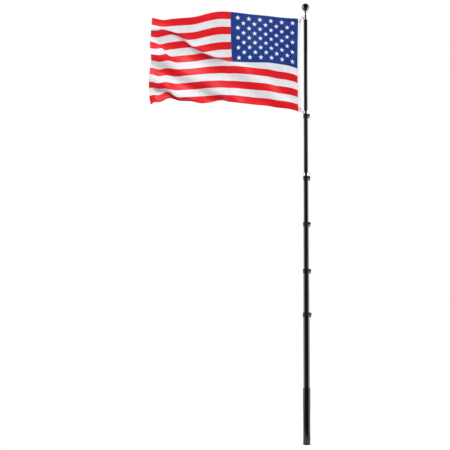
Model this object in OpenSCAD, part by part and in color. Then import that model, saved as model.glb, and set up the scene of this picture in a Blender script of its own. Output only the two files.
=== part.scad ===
// Telescoping flagpole with a ground sleeve, five lever clamps, a ball finial and one flag.
// Six nested tubes slide in each other, and each clamp collar holds the next tube up.
// The flag hangs between two swivel rings, so that it turns freely round the pole.
// +Z is up, the origin is the middle of the sleeve's foot, and the flag flies towards -X.

/* [Ground sleeve] */
// Wall of the ground sleeve
sleeve_wall = 4; // [3:0.5:8]
// Play between the sleeve and the lowest tube, on the radius
sleeve_play = 1; // [0.8:0.1:3]
// Height of the sleeve's top above its foot
sleeve_h = 555; // [400:1:700]
// Thickness of the end cap's flange
cap_flange = 4; // [2:0.5:10]
// Depth of the end cap's plug inside the sleeve
cap_plug = 12; // [5:1:30]
// Height of the trim ring at the sleeve's mouth
rim_h = 14; // [8:1:30]

/* [Tubes] */
// Outside diameter of the lowest tube
tube_d = 63; // [50:0.5:80]
// Wall of every tube
tube_wall = 1.5; // [1:0.1:2]
// Play between one tube and the next, on the radius
tube_play = 1; // [0.6:0.1:1.4]
// Length of the tubes from the second to the fifth
tube_len = 1100; // [900:1:1400]
// Length of the top tube that stays in the tube below
lap = 178; // [120:1:300]
// Length of the first tube that shows
show_1 = 745; // [500:1:900]
// Length of the second tube that shows
show_2 = 429; // [200:1:700]
// Length of the third tube that shows
show_3 = 461; // [200:1:700]
// Length of the fourth tube that shows
show_4 = 452; // [200:1:700]
// Length of the fifth tube that shows
show_5 = 610; // [200:1:700]

/* [Clamps] */
// Height of a clamp collar
collar_h = 45; // [36:1:60]
// Wall of a clamp collar round its tube
collar_wall = 4; // [3:0.5:6]
// Height of the collar's lip that grips the next tube
lip_h = 10; // [6:1:14]
// Width of the slit that lets the collar close
slit_w = 3; // [2:0.5:5]
// Thickness of each ear that holds the lever pin
ear_t = 4; // [3:0.5:6]
// Diameter of the lever pin
pin_d = 4; // [3:0.5:5]
// Width of a clamp lever
lever_w = 12; // [8:1:16]
// Length of a clamp lever below its pin
lever_len = 38; // [25:1:45]

/* [Finial] */
// Height of the pole cap above the top tube
cap_h = 10; // [6:1:20]
// Diameter of the finial's stem
stem_d = 17; // [12:0.5:20]
// Diameter of the ball
ball_d = 75; // [50:1:100]
// Clear length of stem between the pole cap and the ball
stem_show = 86; // [60:1:120]

/* [Swivel rings and hooks] */
// Height of the rings round the tubes
ring_h = 28; // [20:1:40]
// Wall of the swivel rings
ring_wall = 4.5; // [3:0.5:6]
// Play of the rings on their tube or stem, on the radius
ring_play = 0.4; // [0.3:0.1:1]
// Wire diameter of the snap hooks
wire_d = 4.5; // [3:0.5:5]
// Diameter of the holes in the ring eyes
eye_d = 10; // [8:0.5:14]

/* [Flag] */
// Height of the flag along its hoist
flag_hoist = 914; // [700:1:1100]
// Reach of the flag from its heading to its fly end, as it waves
flag_reach = 1470; // [1000:1:1500]
// Thickness of the flag and its heading
cloth_t = 1.5; // [1:0.5:3]
// Width of the heading
heading_w = 26; // [24:1:50]
// Distance of each grommet from its end of the hoist
grommet_inset = 30; // [20:1:60]
// Hole of each grommet
grommet_d = 11; // [10:0.5:14]
// Depth of the flag's waves, to each side
wave_depth = 80; // [20:1:120]
// Rise of the flag's middle above its upper corner
crest = 73; // [0:1:100]

/* [Hidden] */
$fn = 96;

// Play of a clamped or pinned fit, on the radius
fit = 0.08;
// Gap between two faces that rest on each other in different bodies
rest_gap = 0.3;
// Gap between a hook's wire and the hole that it pulls on
hook_gap = 0.5;

// Each tube is smaller than the one below by two walls and the play on both sides
tube_step = 2 * (tube_wall + tube_play);
function tube_r(k) = (tube_d - (k - 1) * tube_step) / 2;
sleeve_bore_r = tube_r(1) + sleeve_play;
sleeve_r = sleeve_bore_r + sleeve_wall;

// Hooks and flag, measured from the rings that carry them
loop_r = 10;
loop_out = 4;
loop_up = 16;
upper_eye_out = stem_d / 2 + 19;
upper_eye_up = 25;
lower_eye_out = tube_r(6) + ring_wall + 6.5;
lower_eye_up = 13;
grommet_x = -lower_eye_out - 26;
grommet_top_drop = 19;
grommet_bottom_up = 50;
flag_pull = flag_hoist - 2 * grommet_inset;

// The top tube stands just high enough to stretch the hoist between its two hooks
show_6 = flag_pull + grommet_bottom_up + grommet_top_drop - cap_h;
shows = [show_1, show_2, show_3, show_4, show_5, show_6];
function sum_to(list, n) = n < 1 ? 0 : list[n - 1] + sum_to(list, n - 1);
function collar_top(k) = sleeve_h + sum_to(shows, k);
pole_top = collar_top(6);
cap_top = pole_top + cap_h;

grommet_top_z = cap_top - grommet_top_drop;
grommet_bottom_z = grommet_top_z - flag_pull;
hoist_top = grommet_top_z + grommet_inset;
heading_x = grommet_x - heading_w / 2 - 3;

// Clamp pins stand out on the +X side, near the collar's top
pin_out = 7;
pin_drop = 13;
function collar_r(k) = tube_r(k) + collar_wall;
function pin_x(k) = collar_r(k) + pin_out;
function pin_z(k) = collar_top(k) - pin_drop;
cam_r = 5.5;
ear_gap = 0.5;
ear_r = 6;
ear_up = 10;
ear_down = 12;

module ring(outer, inner, height) {
  difference() {
    cylinder(r = outer, h = height);
    translate([0, 0, -1]) cylinder(r = inner, h = height + 2);
  }
}

// Turned ring with a chamfer on both outer edges
module chamfered_ring(outer, inner, height, bevel) {
  rotate_extrude()
    polygon([
      [inner, 0], [outer - bevel, 0], [outer, bevel],
      [outer, height - bevel], [outer - bevel, height], [inner, height]
    ]);
}

// A plate in the XZ plane, centred on y = 0, from an outline drawn in x and z
module upright_plate(thickness) {
  rotate([90, 0, 0]) translate([0, 0, -thickness / 2]) linear_extrude(thickness) children();
}

// ---- Ground sleeve ----

module ground_sleeve() {
  color("#26282b")
    translate([0, 0, cap_flange])
      ring(sleeve_r, sleeve_bore_r, sleeve_h - rim_lip - cap_flange);
}

rim_lip = 3;

module sleeve_end_cap() {
  color("#1d1e20") {
    chamfered_ring(sleeve_r, 0, cap_flange, 1);
    translate([0, 0, cap_flange]) cylinder(r = sleeve_bore_r - fit, h = cap_plug - cap_flange);
  }
}

// Trim ring: a lip on the sleeve's end and a bush that centres the first tube
module sleeve_rim() {
  color("#1d1e20")
    translate([0, 0, sleeve_h - rim_h])
      rotate_extrude()
        polygon([
          [tube_r(1) + rest_gap, 0], [sleeve_bore_r - fit, 0],
          [sleeve_bore_r - fit, rim_h - rim_lip], [sleeve_r, rim_h - rim_lip],
          [sleeve_r, rim_h - 1], [sleeve_r - 1, rim_h], [tube_r(1) + rest_gap, rim_h]
        ]);
}

// ---- Tubes ----

// Tube k reaches up to the underside of its collar's lip, and the top one to the pole cap
function tube_top(k) = k == 6 ? pole_top : collar_top(k) - lip_h;
function tube_foot(k) = k == 1 ? cap_plug + rest_gap
                      : k == 6 ? collar_top(5) - lap
                      : tube_top(k) - tube_len;

module tube(k) {
  color("#17181a")
    translate([0, 0, tube_foot(k)])
      ring(tube_r(k), tube_r(k) - tube_wall, tube_top(k) - tube_foot(k));
}

// ---- Clamps ----

module collar_ears(k) {
  for (side = [-1, 1])
    translate([0, side * (lever_w / 2 + ear_gap + ear_t / 2), 0])
      upright_plate(ear_t) {
        translate([pin_x(k), pin_z(k)]) circle(r = ear_r);
        translate([pin_x(k), pin_z(k)])
          polygon([
            [tube_r(k) + 1 - pin_x(k), -ear_down], [-pin_out, -ear_down],
            [ear_r / 2, -ear_r / 2], [ear_r, 0], [ear_r, ear_up - 3],
            [ear_r - 3, ear_up], [tube_r(k) + 1 - pin_x(k), ear_up]
          ]);
      }
}

module clamp_collar(k) {
  groove_z = collar_h - lip_h - 6;
  color("#0f1011")
    difference() {
      union() {
        rotate_extrude()
          translate([0, collar_top(k) - collar_h])
            polygon([
              [tube_r(k) - 1, 0], [collar_r(k) - 1, 0], [collar_r(k), 1],
              [collar_r(k), groove_z], [collar_r(k) - 0.8, groove_z + 0.8],
              [collar_r(k) - 0.8, groove_z + 2.2], [collar_r(k), groove_z + 3],
              [collar_r(k), collar_h - 2], [collar_r(k) - 2, collar_h],
              [tube_r(k) - 1, collar_h]
            ]);
        collar_ears(k);
      }
      translate([0, 0, collar_top(k) - collar_h - 1])
        cylinder(r = tube_r(k) + fit, h = collar_h - lip_h + 1);
      translate([0, 0, collar_top(k) - lip_h - 1])
        cylinder(r = tube_r(k + 1) + fit, h = lip_h + 2);
      translate([0, -slit_w / 2, collar_top(k) - collar_h - 1])
        cube([collar_r(k) + 1, slit_w, collar_h + 2]);
      translate([pin_x(k), 0, pin_z(k)]) rotate([90, 0, 0])
        cylinder(d = pin_d + 2 * fit, h = 4 * lever_w, center = true);
      translate([collar_r(k) + rest_gap, -lever_w / 2 - ear_gap, pin_z(k) - collar_h])
        cube([4 * pin_out, lever_w + 2 * ear_gap, 2 * collar_h]);
    }
}

module clamp_pin(k) {
  pin_len = lever_w + 2 * ear_gap + 2 * ear_t + 2;
  color("#9a9ca0")
    translate([pin_x(k), 0, pin_z(k)]) rotate([90, 0, 0])
      cylinder(d = pin_d, h = pin_len, center = true);
}

// Over-centre lever: a cam round the pin, a short arm outwards and a grip that hangs down
module clamp_lever(k) {
  arm_r = cam_r - 0.6;
  color("#0c0d0e")
    translate([pin_x(k), 0, pin_z(k)])
      difference() {
        union() {
          rotate([90, 0, 0]) cylinder(r = cam_r, h = lever_w, center = true);
          upright_plate(lever_w - 1)
            polygon([
              [0, arm_r], [5.5, arm_r], [7.5, arm_r - 2], [7.5, -6],
              [2, -lever_len + 1], [1, -lever_len], [-3.5, -lever_len],
              [-4.5, -lever_len + 1], [-4.5, 0]
            ]);
        }
        rotate([90, 0, 0]) cylinder(d = pin_d + 2 * fit, h = 2 * lever_w, center = true);
      }
}

// ---- Finial ----

module pole_cap() {
  plug_h = 15;
  color("#131416") {
    translate([0, 0, pole_top]) chamfered_ring(tube_r(6) + 1.5, stem_d / 2 - 2, cap_h, 1.5);
    translate([0, 0, pole_top - plug_h])
      ring(tube_r(6) - tube_wall - fit, stem_d / 2 - 2, plug_h);
  }
}

band_h = 14;
band_up = 48;
band_seat = 1.5;
ball_socket = 12;

module finial_stem() {
  color("#1a1b1d")
    difference() {
      union() {
        translate([0, 0, cap_top]) cylinder(d = stem_d, h = stem_show + ball_socket);
        translate([0, 0, cap_top - 20]) cylinder(r = stem_d / 2 - 2 - fit, h = 20);
      }
      translate([0, 0, cap_top + band_up])
        ring(stem_d, stem_d / 2 - band_seat, band_h);
    }
}

module stem_band() {
  color("#c9ccd0")
    translate([0, 0, cap_top + band_up + fit])
      ring(stem_d / 2 + 0.8, stem_d / 2 - band_seat + fit, band_h - 2 * fit);
}

ball_z = cap_top + stem_show + ball_d / 2 - 1;
ball_wall = 2.5;

// Hollow ball with a boss inside that takes the end of the stem
module ball_finial() {
  boss_r = stem_d / 2 + 4;
  color("#0b0c0d")
    difference() {
      translate([0, 0, ball_z]) sphere(d = ball_d);
      difference() {
        translate([0, 0, ball_z]) sphere(d = ball_d - 2 * ball_wall);
        translate([0, 0, cap_top]) cylinder(r = boss_r, h = stem_show + ball_socket + 4);
      }
      translate([0, 0, cap_top]) cylinder(r = stem_d / 2 + fit, h = stem_show + ball_socket + fit);
    }
}

// ---- Swivel rings, hooks and grommets ----

// Eye of a ring: a flat lug from the ring's wall out to a round hole
module eye_lug(wall_x, low, high, out, up) {
  difference() {
    upright_plate(4) {
      translate([-out, up]) circle(r = eye_d / 2 + 3);
      polygon([
        [-wall_x, low], [-wall_x, high],
        [-out + 2, up + eye_d / 2 + 2], [-out - 2, up - eye_d / 2 - 2]
      ]);
    }
    translate([-out, 0, up]) rotate([90, 0, 0]) cylinder(d = eye_d, h = 10, center = true);
  }
}

module upper_flag_ring() {
  height = 12;
  color("#c9ccd0")
    translate([0, 0, cap_top + rest_gap])
      difference() {
        union() {
          cylinder(r = stem_d / 2 + ring_wall, h = height);
          eye_lug(stem_d / 2 + 1, 0, height, upper_eye_out, upper_eye_up);
        }
        translate([0, 0, -1]) cylinder(r = stem_d / 2 + ring_play, h = height + 2);
      }
}

module lower_flag_ring() {
  color("#c9ccd0")
    translate([0, 0, collar_top(5) + rest_gap])
      difference() {
        union() {
          chamfered_ring(tube_r(6) + ring_wall, tube_r(6) - 1, ring_h, 1);
          eye_lug(tube_r(6) + 1, 4, ring_h - 4, lower_eye_out, lower_eye_up);
        }
        translate([0, 0, -1]) cylinder(r = tube_r(6) + ring_play, h = ring_h + 2);
      }
}

// The spare ring carries a wire loop that stands out from its side, for a second flag
module spare_flag_ring() {
  outer = tube_r(5) + ring_wall;
  color("#c9ccd0")
    translate([0, 0, collar_top(4) + rest_gap])
      difference() {
        union() {
          chamfered_ring(outer, tube_r(5) - 1, ring_h, 1);
          translate([outer + loop_out, 0, loop_up]) rotate([90, 0, 0]) rotate([0, 0, -90])
            rotate_extrude(angle = 180) translate([loop_r, 0]) circle(d = wire_d, $fn = 48);
          for (side = [-1, 1])
            translate([outer - 1, 0, loop_up + side * loop_r]) rotate([0, 90, 0])
              cylinder(d = wire_d, h = loop_out + 1);
        }
        translate([0, 0, -1]) cylinder(r = tube_r(5) + ring_play, h = ring_h + 2);
      }
}

// Snap hook: a long closed loop of wire that passes through both holes across the cloth
module snap_hook(from, to) {
  reach = to - from;
  span = norm(reach);
  bend_r = 8;
  color("#b9bcc0")
    translate([from[0], 0, from[1]])
      rotate([0, 90 - atan2(reach[1], reach[0]), 0])
        translate([0, 0, bend_r]) {
          for (side = [-1, 1])
            translate([0, side * bend_r, 0]) cylinder(d = wire_d, h = span - 2 * bend_r);
          for (end = [0, 1])
            translate([0, 0, end * (span - 2 * bend_r)])
              rotate([0, 90, 0]) rotate([0, 0, end * 180 - 90])
                rotate_extrude(angle = 180) translate([bend_r, 0]) circle(d = wire_d, $fn = 48);
        }
}

// Ends of a hook's wire: it pulls on the near side of each of the two holes
function toward(a, b) = (b - a) / norm(b - a);
function wire_at(hole, other, hole_d) =
  hole + toward(hole, other) * ((hole_d - wire_d) / 2 - hook_gap);

upper_eye = [-upper_eye_out, cap_top + rest_gap + upper_eye_up];
lower_eye = [-lower_eye_out, collar_top(5) + rest_gap + lower_eye_up];
top_hole = [grommet_x, grommet_top_z];
bottom_hole = [grommet_x, grommet_bottom_z];

module upper_snap_hook() {
  snap_hook(
    wire_at(upper_eye, top_hole, eye_d),
    wire_at(top_hole, upper_eye, grommet_d)
  );
}

module lower_snap_hook() {
  snap_hook(
    wire_at(lower_eye, bottom_hole, eye_d),
    wire_at(bottom_hole, lower_eye, grommet_d)
  );
}

grommet_wall = 1;
grommet_flange = 4;

module grommet(z) {
  half = cloth_t / 2 + rest_gap;
  hole_r = grommet_d / 2;
  color("#b8903f")
    translate([grommet_x, 0, z]) rotate([90, 0, 0])
      rotate_extrude()
        polygon([
          [hole_r, -half - 1], [hole_r + grommet_flange, -half - 1],
          [hole_r + grommet_flange, -half], [hole_r + grommet_wall, -half],
          [hole_r + grommet_wall, half], [hole_r + grommet_flange, half],
          [hole_r + grommet_flange, half + 1], [hole_r, half + 1]
        ]);
}

// ---- Flag ----

module flag_heading() {
  color("#f4f4f2")
    difference() {
      translate([heading_x, -cloth_t / 2, hoist_top - flag_hoist])
        cube([heading_w, cloth_t, flag_hoist]);
      for (z = [grommet_top_z, grommet_bottom_z])
        translate([grommet_x, 0, z]) rotate([90, 0, 0])
          cylinder(r = grommet_d / 2 + grommet_wall + rest_gap, h = 10, center = true);
    }
}

wave_steps = 48;
wave_count = 2.6;
function wave_y(u) = wave_depth * sqrt(u) * sin(360 * wave_count * u);
function crest_z(u) = crest * sin(180 * u);

// The cloth's section seen from above, and its outline seen from the front
wave_section = concat(
  [for (i = [0:wave_steps]) let (u = i / wave_steps) [-u * flag_reach, wave_y(u) + cloth_t / 2]],
  [for (i = [wave_steps:-1:0]) let (u = i / wave_steps) [-u * flag_reach, wave_y(u) - cloth_t / 2]]
);
outline_steps = 12;
fly_lift = 70;
flag_outline = concat(
  [for (i = [0:outline_steps]) let (u = i / outline_steps) [-u * flag_reach, crest_z(u)]],
  [for (i = [outline_steps:-1:0]) let (u = i / outline_steps)
    [-u * flag_reach, -flag_hoist + crest_z(u) + fly_lift * u]]
);

module flag() {
  color("#b3223a")
    translate([heading_x, 0, hoist_top])
      intersection() {
        translate([0, 0, -1.2 * flag_hoist]) linear_extrude(1.6 * flag_hoist) polygon(wave_section);
        upright_plate(8 * wave_depth + 10) polygon(flag_outline);
      }
}

ground_sleeve();
sleeve_end_cap();
sleeve_rim();
tube(1);  // tube_1
tube(2);  // tube_2
tube(3);  // tube_3
tube(4);  // tube_4
tube(5);  // tube_5
tube(6);  // tube_6
clamp_collar(1);  // clamp_collar_1
clamp_collar(2);  // clamp_collar_2
clamp_collar(3);  // clamp_collar_3
clamp_collar(4);  // clamp_collar_4
clamp_collar(5);  // clamp_collar_5
clamp_pin(1);  // clamp_pin_1
clamp_pin(2);  // clamp_pin_2
clamp_pin(3);  // clamp_pin_3
clamp_pin(4);  // clamp_pin_4
clamp_pin(5);  // clamp_pin_5
clamp_lever(1);  // clamp_lever_1
clamp_lever(2);  // clamp_lever_2
clamp_lever(3);  // clamp_lever_3
clamp_lever(4);  // clamp_lever_4
clamp_lever(5);  // clamp_lever_5
pole_cap();
finial_stem();
stem_band();
ball_finial();
upper_flag_ring();
upper_snap_hook();
lower_flag_ring();
lower_snap_hook();
spare_flag_ring();
grommet(grommet_top_z);  // grommet_top
grommet(grommet_bottom_z);  // grommet_bottom
flag_heading();
flag();
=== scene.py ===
"""Telescoping flagpole with a sewn nylon flag: finishes, cloth and fittings round its CAD model.

All lengths are in metres. The pole stands on the origin with +Z up, and the flag flies towards -X.
"""

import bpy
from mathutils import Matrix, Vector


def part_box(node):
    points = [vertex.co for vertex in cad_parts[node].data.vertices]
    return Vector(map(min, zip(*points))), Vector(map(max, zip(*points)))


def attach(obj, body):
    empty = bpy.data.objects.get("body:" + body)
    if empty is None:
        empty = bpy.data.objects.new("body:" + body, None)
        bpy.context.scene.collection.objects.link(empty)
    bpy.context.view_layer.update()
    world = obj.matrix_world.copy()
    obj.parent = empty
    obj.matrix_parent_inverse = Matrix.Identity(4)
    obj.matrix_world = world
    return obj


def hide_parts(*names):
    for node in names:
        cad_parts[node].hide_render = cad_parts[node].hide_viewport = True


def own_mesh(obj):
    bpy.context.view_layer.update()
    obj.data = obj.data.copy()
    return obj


bl_info = {
    "name": "Telescoping Flagpole Looks",
    "version": (1, 0, 0),
    "blender": (4, 5, 0),
    "location": "View3D > Sidebar > Flagpole",
    "description": "Finishes a telescoping flagpole and sews, waves and hangs its flag",
    "category": "Object",
}

import math

import bmesh
import bpy
import numpy as np
from bpy.props import FloatProperty, FloatVectorProperty, IntProperty, PointerProperty
from mathutils import Matrix, Vector
from mathutils.geometry import delaunay_2d_cdt

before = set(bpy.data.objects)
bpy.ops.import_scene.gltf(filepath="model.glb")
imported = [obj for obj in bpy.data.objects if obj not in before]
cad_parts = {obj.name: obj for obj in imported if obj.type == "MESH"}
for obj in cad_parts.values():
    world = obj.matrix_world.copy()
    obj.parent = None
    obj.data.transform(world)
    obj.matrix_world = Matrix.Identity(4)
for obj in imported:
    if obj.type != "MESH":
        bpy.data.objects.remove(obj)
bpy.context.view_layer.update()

MM = 0.001
# Sides of a round hole through a plate
HOLE_SIDES = 24


# --- Settings ---


def colour_property(name, description, default):
    return FloatVectorProperty(
        name=name, description=description, default=default, subtype="COLOR", size=3, min=0.0, max=1.0
    )


def length_property(name, description, default):
    return FloatProperty(name=name, description=description, default=default, unit="LENGTH", min=0.0)


class FlagSettings(bpy.types.PropertyGroup):
    """Sizes and colours of the flag"""

    fly: length_property("Fly", "Length of the striped cloth, flat", 1.498)
    hoist: length_property("Hoist", "Height of the flag along the pole", 0.914)
    canton_length: length_property("Canton length", "Length of the starred field", 0.682)
    star_size: length_property("Star size", "Across the points of a star", 0.0535)
    cloth_thickness: length_property("Cloth", "Thickness of the cloth", 0.0007)
    seam_width: length_property("Seam", "Width of a lapped seam between stripes", 0.009)
    wave_depth: length_property("Wave depth", "Depth of the broad waves", 0.020)
    ripple_depth: length_property("Ripple depth", "Depth of the ripples beside the folds", 0.0175)
    stripes: IntProperty(name="Stripes", description="Number of stripes", default=13, min=1)
    red: colour_property("Red", "Dyed colour of the red stripes", (0.74, 0.0015, 0.010))
    white: colour_property("White", "Dyed colour of the white stripes", (0.74, 0.75, 0.78))
    blue: colour_property("Blue", "Dyed colour of the canton", (0.004, 0.035, 0.235))


class PoleSettings(bpy.types.PropertyGroup):
    """Finishes of the pole and its fittings"""

    tube_black: colour_property("Tube", "Colour of the coated tubes", (0.0030, 0.0030, 0.0034))
    sleeve_black: colour_property("Sleeve", "Colour of the ground sleeve", (0.0045, 0.0045, 0.0050))
    plastic_black: colour_property("Plastic", "Colour of clamps and levers", (0.0050, 0.0050, 0.0055))
    steel: colour_property("Steel", "Colour of the polished fittings", (0.78, 0.79, 0.81))
    # Nearly black, not the brass's own colour: painted shade round the hooks' ends
    brass: colour_property("Brass", "Colour of the grommets", (0.10, 0.08, 0.05))
    lever_bevel: length_property("Lever edge", "Rounding of a lever's long edges", 0.0016)


class StudioSettings(bpy.types.PropertyGroup):
    """Camera, floor and lights"""

    distance: length_property("Distance", "From the camera to the pole's plane", 11.0)
    view_height: length_property("View height", "Height that the picture takes in", 4.4215)
    eye_height: length_property("Eye height", "Height of the camera", 2.161)
    aside: FloatProperty(name="Aside", description="Camera's place along X", default=-0.797, unit="LENGTH")
    roll: FloatProperty(name="Roll", description="Tilt of the camera", default=-0.0033, subtype="ANGLE")
    ambient: FloatProperty(name="Ambient", description="Soft light from all round", default=0.42)
    key: FloatProperty(name="Key", description="Strength of the main light", default=2.5)


def flag_settings():
    return bpy.context.scene.flagpole_flag


def pole_settings():
    return bpy.context.scene.flagpole_pole


def studio_settings():
    return bpy.context.scene.flagpole_studio


# --- Mesh helpers ---


def new_piece(name, points, faces, materials, smooth=True, face_materials=None):
    """A mesh object from points and faces, smooth shaded, with its materials."""
    mesh = bpy.data.meshes.new(name)
    mesh.from_pydata([tuple(p) for p in points], [], [tuple(f) for f in faces])
    for material in materials:
        mesh.materials.append(material)
    if face_materials is not None:
        mesh.polygons.foreach_set("material_index", np.asarray(face_materials, np.int32))
    mesh.polygons.foreach_set("use_smooth", [smooth] * len(mesh.polygons))
    mesh.update()
    piece = bpy.data.objects.new(name, mesh)
    bpy.context.scene.collection.objects.link(piece)
    return piece


def skinned(rows, sides, closed=False):
    """Faces between rows of points round a body. Its ends are capped unless its last row meets its
    first."""
    faces = []
    for r in range(rows if closed else rows - 1):
        a, b = r * sides, (r + 1) % rows * sides
        for k in range(sides):
            ahead = (k + 1) % sides
            faces.append((a + k, a + ahead, b + ahead, b + k))
    if not closed:
        faces.append(tuple(range(sides - 1, -1, -1)))
        faces.append(tuple((rows - 1) * sides + k for k in range(sides)))
    return faces


def lathe(profile, steps=48, closed=False):
    """Points and faces of a profile of (radius, height) turned round Z. A closed profile is a ring."""
    turns = [2 * math.pi * k / steps for k in range(steps)]
    points = [(r * math.cos(turn), r * math.sin(turn), z) for r, z in profile for turn in turns]
    return points, skinned(len(profile), steps, closed)


def tube_along(path, radii, sides=12):
    """Points and faces of a capped round bar that follows a path. The radius may change along it."""
    path = [Vector(p) for p in path]
    radii = list(radii) if hasattr(radii, "__len__") else [radii] * len(path)
    tangents = []
    for i in range(len(path)):
        ahead = path[min(i + 1, len(path) - 1)]
        behind = path[max(i - 1, 0)]
        tangents.append((ahead - behind).normalized())
    side = tangents[0].orthogonal().normalized()
    points = []
    for place, tangent, radius in zip(path, tangents, radii):
        side = (side - tangent * side.dot(tangent)).normalized()
        other = tangent.cross(side)
        for k in range(sides):
            turn = 2 * math.pi * k / sides
            points.append(place + (side * math.cos(turn) + other * math.sin(turn)) * radius)
    return points, skinned(len(path), sides)


def joined(*parts):
    """One list of points and one of faces from several (points, faces) pairs."""
    points, faces = [], []
    for some_points, some_faces in parts:
        base = len(points)
        points += [Vector(p) for p in some_points]
        faces += [tuple(base + i for i in face) for face in some_faces]
    return points, faces


def placed(part, matrix):
    """The same points and faces, moved by the matrix."""
    points, faces = part
    return [matrix @ Vector(p) for p in points], faces


def cut_plate(outline, holes, inner_points, thickness):
    """Points, faces and flat places of a plate in the XZ plane with round holes, each given as (x, z,
    radius). The thickness function gives half the thickness at each flat place."""
    flat, edges = [], []

    def loop_of(ring):
        start = len(flat)
        flat.extend(Vector(p) for p in ring)
        edges.extend((start + k, start + (k + 1) % len(ring)) for k in range(len(ring)))

    loop_of(outline)
    for x, z, radius in holes:
        turns = [2 * math.pi * k / HOLE_SIDES for k in range(HOLE_SIDES)]
        loop_of([(x + radius * math.cos(t), z + radius * math.sin(t)) for t in turns])
    flat += [Vector(p) for p in inner_points]
    flat, _, found, _, _, _ = delaunay_2d_cdt(flat, edges, [], 2, 1e-7)
    faces = []
    # Faces inside a hole are left out
    for face in found:
        middle = sum((flat[i] for i in face), Vector((0, 0))) / len(face)
        if all((middle - Vector((x, z))).length > radius * 0.99 for x, z, radius in holes):
            faces.append(tuple(face))
    count = len(flat)
    points = [(p.x, -thickness(p), p.y) for p in flat] + [(p.x, thickness(p), p.y) for p in flat]
    # An edge that only one face has lies on the border, and gets a wall
    border = {}
    for face in faces:
        for a, b in zip(face, face[1:] + face[:1]):
            key = (min(a, b), max(a, b))
            border[key] = None if key in border else (a, b)
    solid = [tuple(f) for f in faces] + [tuple(count + i for i in reversed(f)) for f in faces]
    solid += [(b, a, count + a, count + b) for a, b in filter(None, border.values())]
    return points, solid, flat


def arc(centre, radius, start, end, steps):
    """Points of an arc in the local XZ plane, with angles in degrees from +X towards +Z."""
    found = []
    for k in range(steps + 1):
        turn = math.radians(start + (end - start) * k / steps)
        found.append((centre[0] + radius * math.cos(turn), 0.0, centre[1] + radius * math.sin(turn)))
    return found


def ramp(value, low, high):
    """From 0 at low to 1 at high, level at both ends."""
    share = np.clip((value - low) / (high - low), 0.0, 1.0)
    return share * share * (3 - 2 * share)


# --- Shader helpers and node groups ---


class Shader:
    """Short calls for building one node tree. A value may be a constant or another node's output."""

    def __init__(self, tree):
        self.tree = tree

    def node(self, kind, **settings):
        made = self.tree.nodes.new(kind)
        for key, value in settings.items():
            setattr(made, key, value)
        return made

    def put(self, socket, value):
        """Links an output to the socket, or sets its constant. A colour may leave out its alpha."""
        if isinstance(value, bpy.types.NodeSocket):
            self.tree.links.new(value, socket)
        elif socket.type == "RGBA" and len(value) == 3:
            socket.default_value = (*value, 1.0)
        else:
            socket.default_value = value

    def fill(self, node, values):
        """Puts each value on the node's input of that name or number."""
        for key, value in values.items():
            self.put(node.inputs[key], value)
        return node

    def math(self, operation, *values):
        made = self.node("ShaderNodeMath", operation=operation)
        return self.fill(made, dict(enumerate(values))).outputs[0]

    def times(self, first, second):
        return self.math("MULTIPLY", first, second)

    def plus(self, first, second):
        return self.math("ADD", first, second)

    def noise(self, vector, scale, detail, roughness):
        values = {"Vector": vector, "Scale": scale, "Detail": detail, "Roughness": roughness}
        return self.fill(self.node("ShaderNodeTexNoise"), values).outputs["Fac"]

    def remap(self, value, low, high, to_low=0.0, to_high=1.0):
        values = dict(enumerate((value, low, high, to_low, to_high)))
        return self.fill(self.node("ShaderNodeMapRange"), values).outputs[0]

    def mix(self, share, first, second):
        values = {"Factor": share, 6: first, 7: second}
        return self.fill(self.node("ShaderNodeMix", data_type="RGBA"), values).outputs[2]

    def stretched(self, vector, scale):
        """The vector times the scale, axis by axis."""
        made = self.node("ShaderNodeVectorMath", operation="MULTIPLY")
        return self.fill(made, {0: vector, 1: scale}).outputs[0]

    def apart(self, vector):
        """The vector's three numbers."""
        return self.fill(self.node("ShaderNodeSeparateXYZ"), {0: vector}).outputs

    def bump(self, height, strength, distance, under=None):
        """A bumped normal, which may lie on another one."""
        values = {"Height": height, "Strength": strength, "Distance": distance}
        if under:
            values["Normal"] = under
        return self.fill(self.node("ShaderNodeBump"), values).outputs["Normal"]

    def group(self, name, **values):
        """The outputs of the named shared group, which is built at its first use."""
        node = self.node("ShaderNodeGroup")
        node.node_tree = bpy.data.node_groups.get(name) or new_group(name, *GROUPS[name])
        return self.fill(node, values).outputs

    def object_place(self):
        return self.node("ShaderNodeTexCoord").outputs["Object"]

    def cloth_place(self):
        return self.node("ShaderNodeUVMap", uv_map="cloth").outputs["UV"]


def emptied(owner):
    """A builder for the node tree of a material or a world, with its first nodes cleared away."""
    owner.use_nodes = True
    owner.node_tree.nodes.clear()
    return Shader(owner.node_tree)


def new_group(name, build, inputs):
    """A node group with a Vector and some number inputs. The building function gives its outputs,
    which are all numbers."""
    tree = bpy.data.node_groups.new(name, "ShaderNodeTree")
    tree.interface.new_socket(name="Vector", in_out="INPUT", socket_type="NodeSocketVector")
    for label, default in inputs.items():
        socket = tree.interface.new_socket(name=label, in_out="INPUT", socket_type="NodeSocketFloat")
        socket.default_value = default
    made = Shader(tree)
    found = build(made, made.node("NodeGroupInput").outputs)
    for label in found:
        tree.interface.new_socket(name=label, in_out="OUTPUT", socket_type="NodeSocketFloat")
    made.fill(made.node("NodeGroupOutput"), found)
    return tree


def handling_marks(made, given):
    """Long faint scratches and smudges: a mask of each, and a height for bump."""
    squeeze = made.fill(made.node("ShaderNodeCombineXYZ"), {0: 1.0, 1: 1.0, 2: given["Stretch"]})
    along = made.stretched(given["Vector"], squeeze.outputs[0])
    fine = made.noise(along, made.times(given["Scale"], 900.0), 3.0, 0.6)
    cloud = made.noise(given["Vector"], made.times(given["Scale"], 9.0), 4.0, 0.6)
    scratch = made.remap(fine, 0.62, 0.74)
    smudge = made.remap(cloud, 0.35, 0.75)
    return {"Smudge": smudge, "Scratch": scratch, "Height": made.times(scratch, -1.0)}


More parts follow.
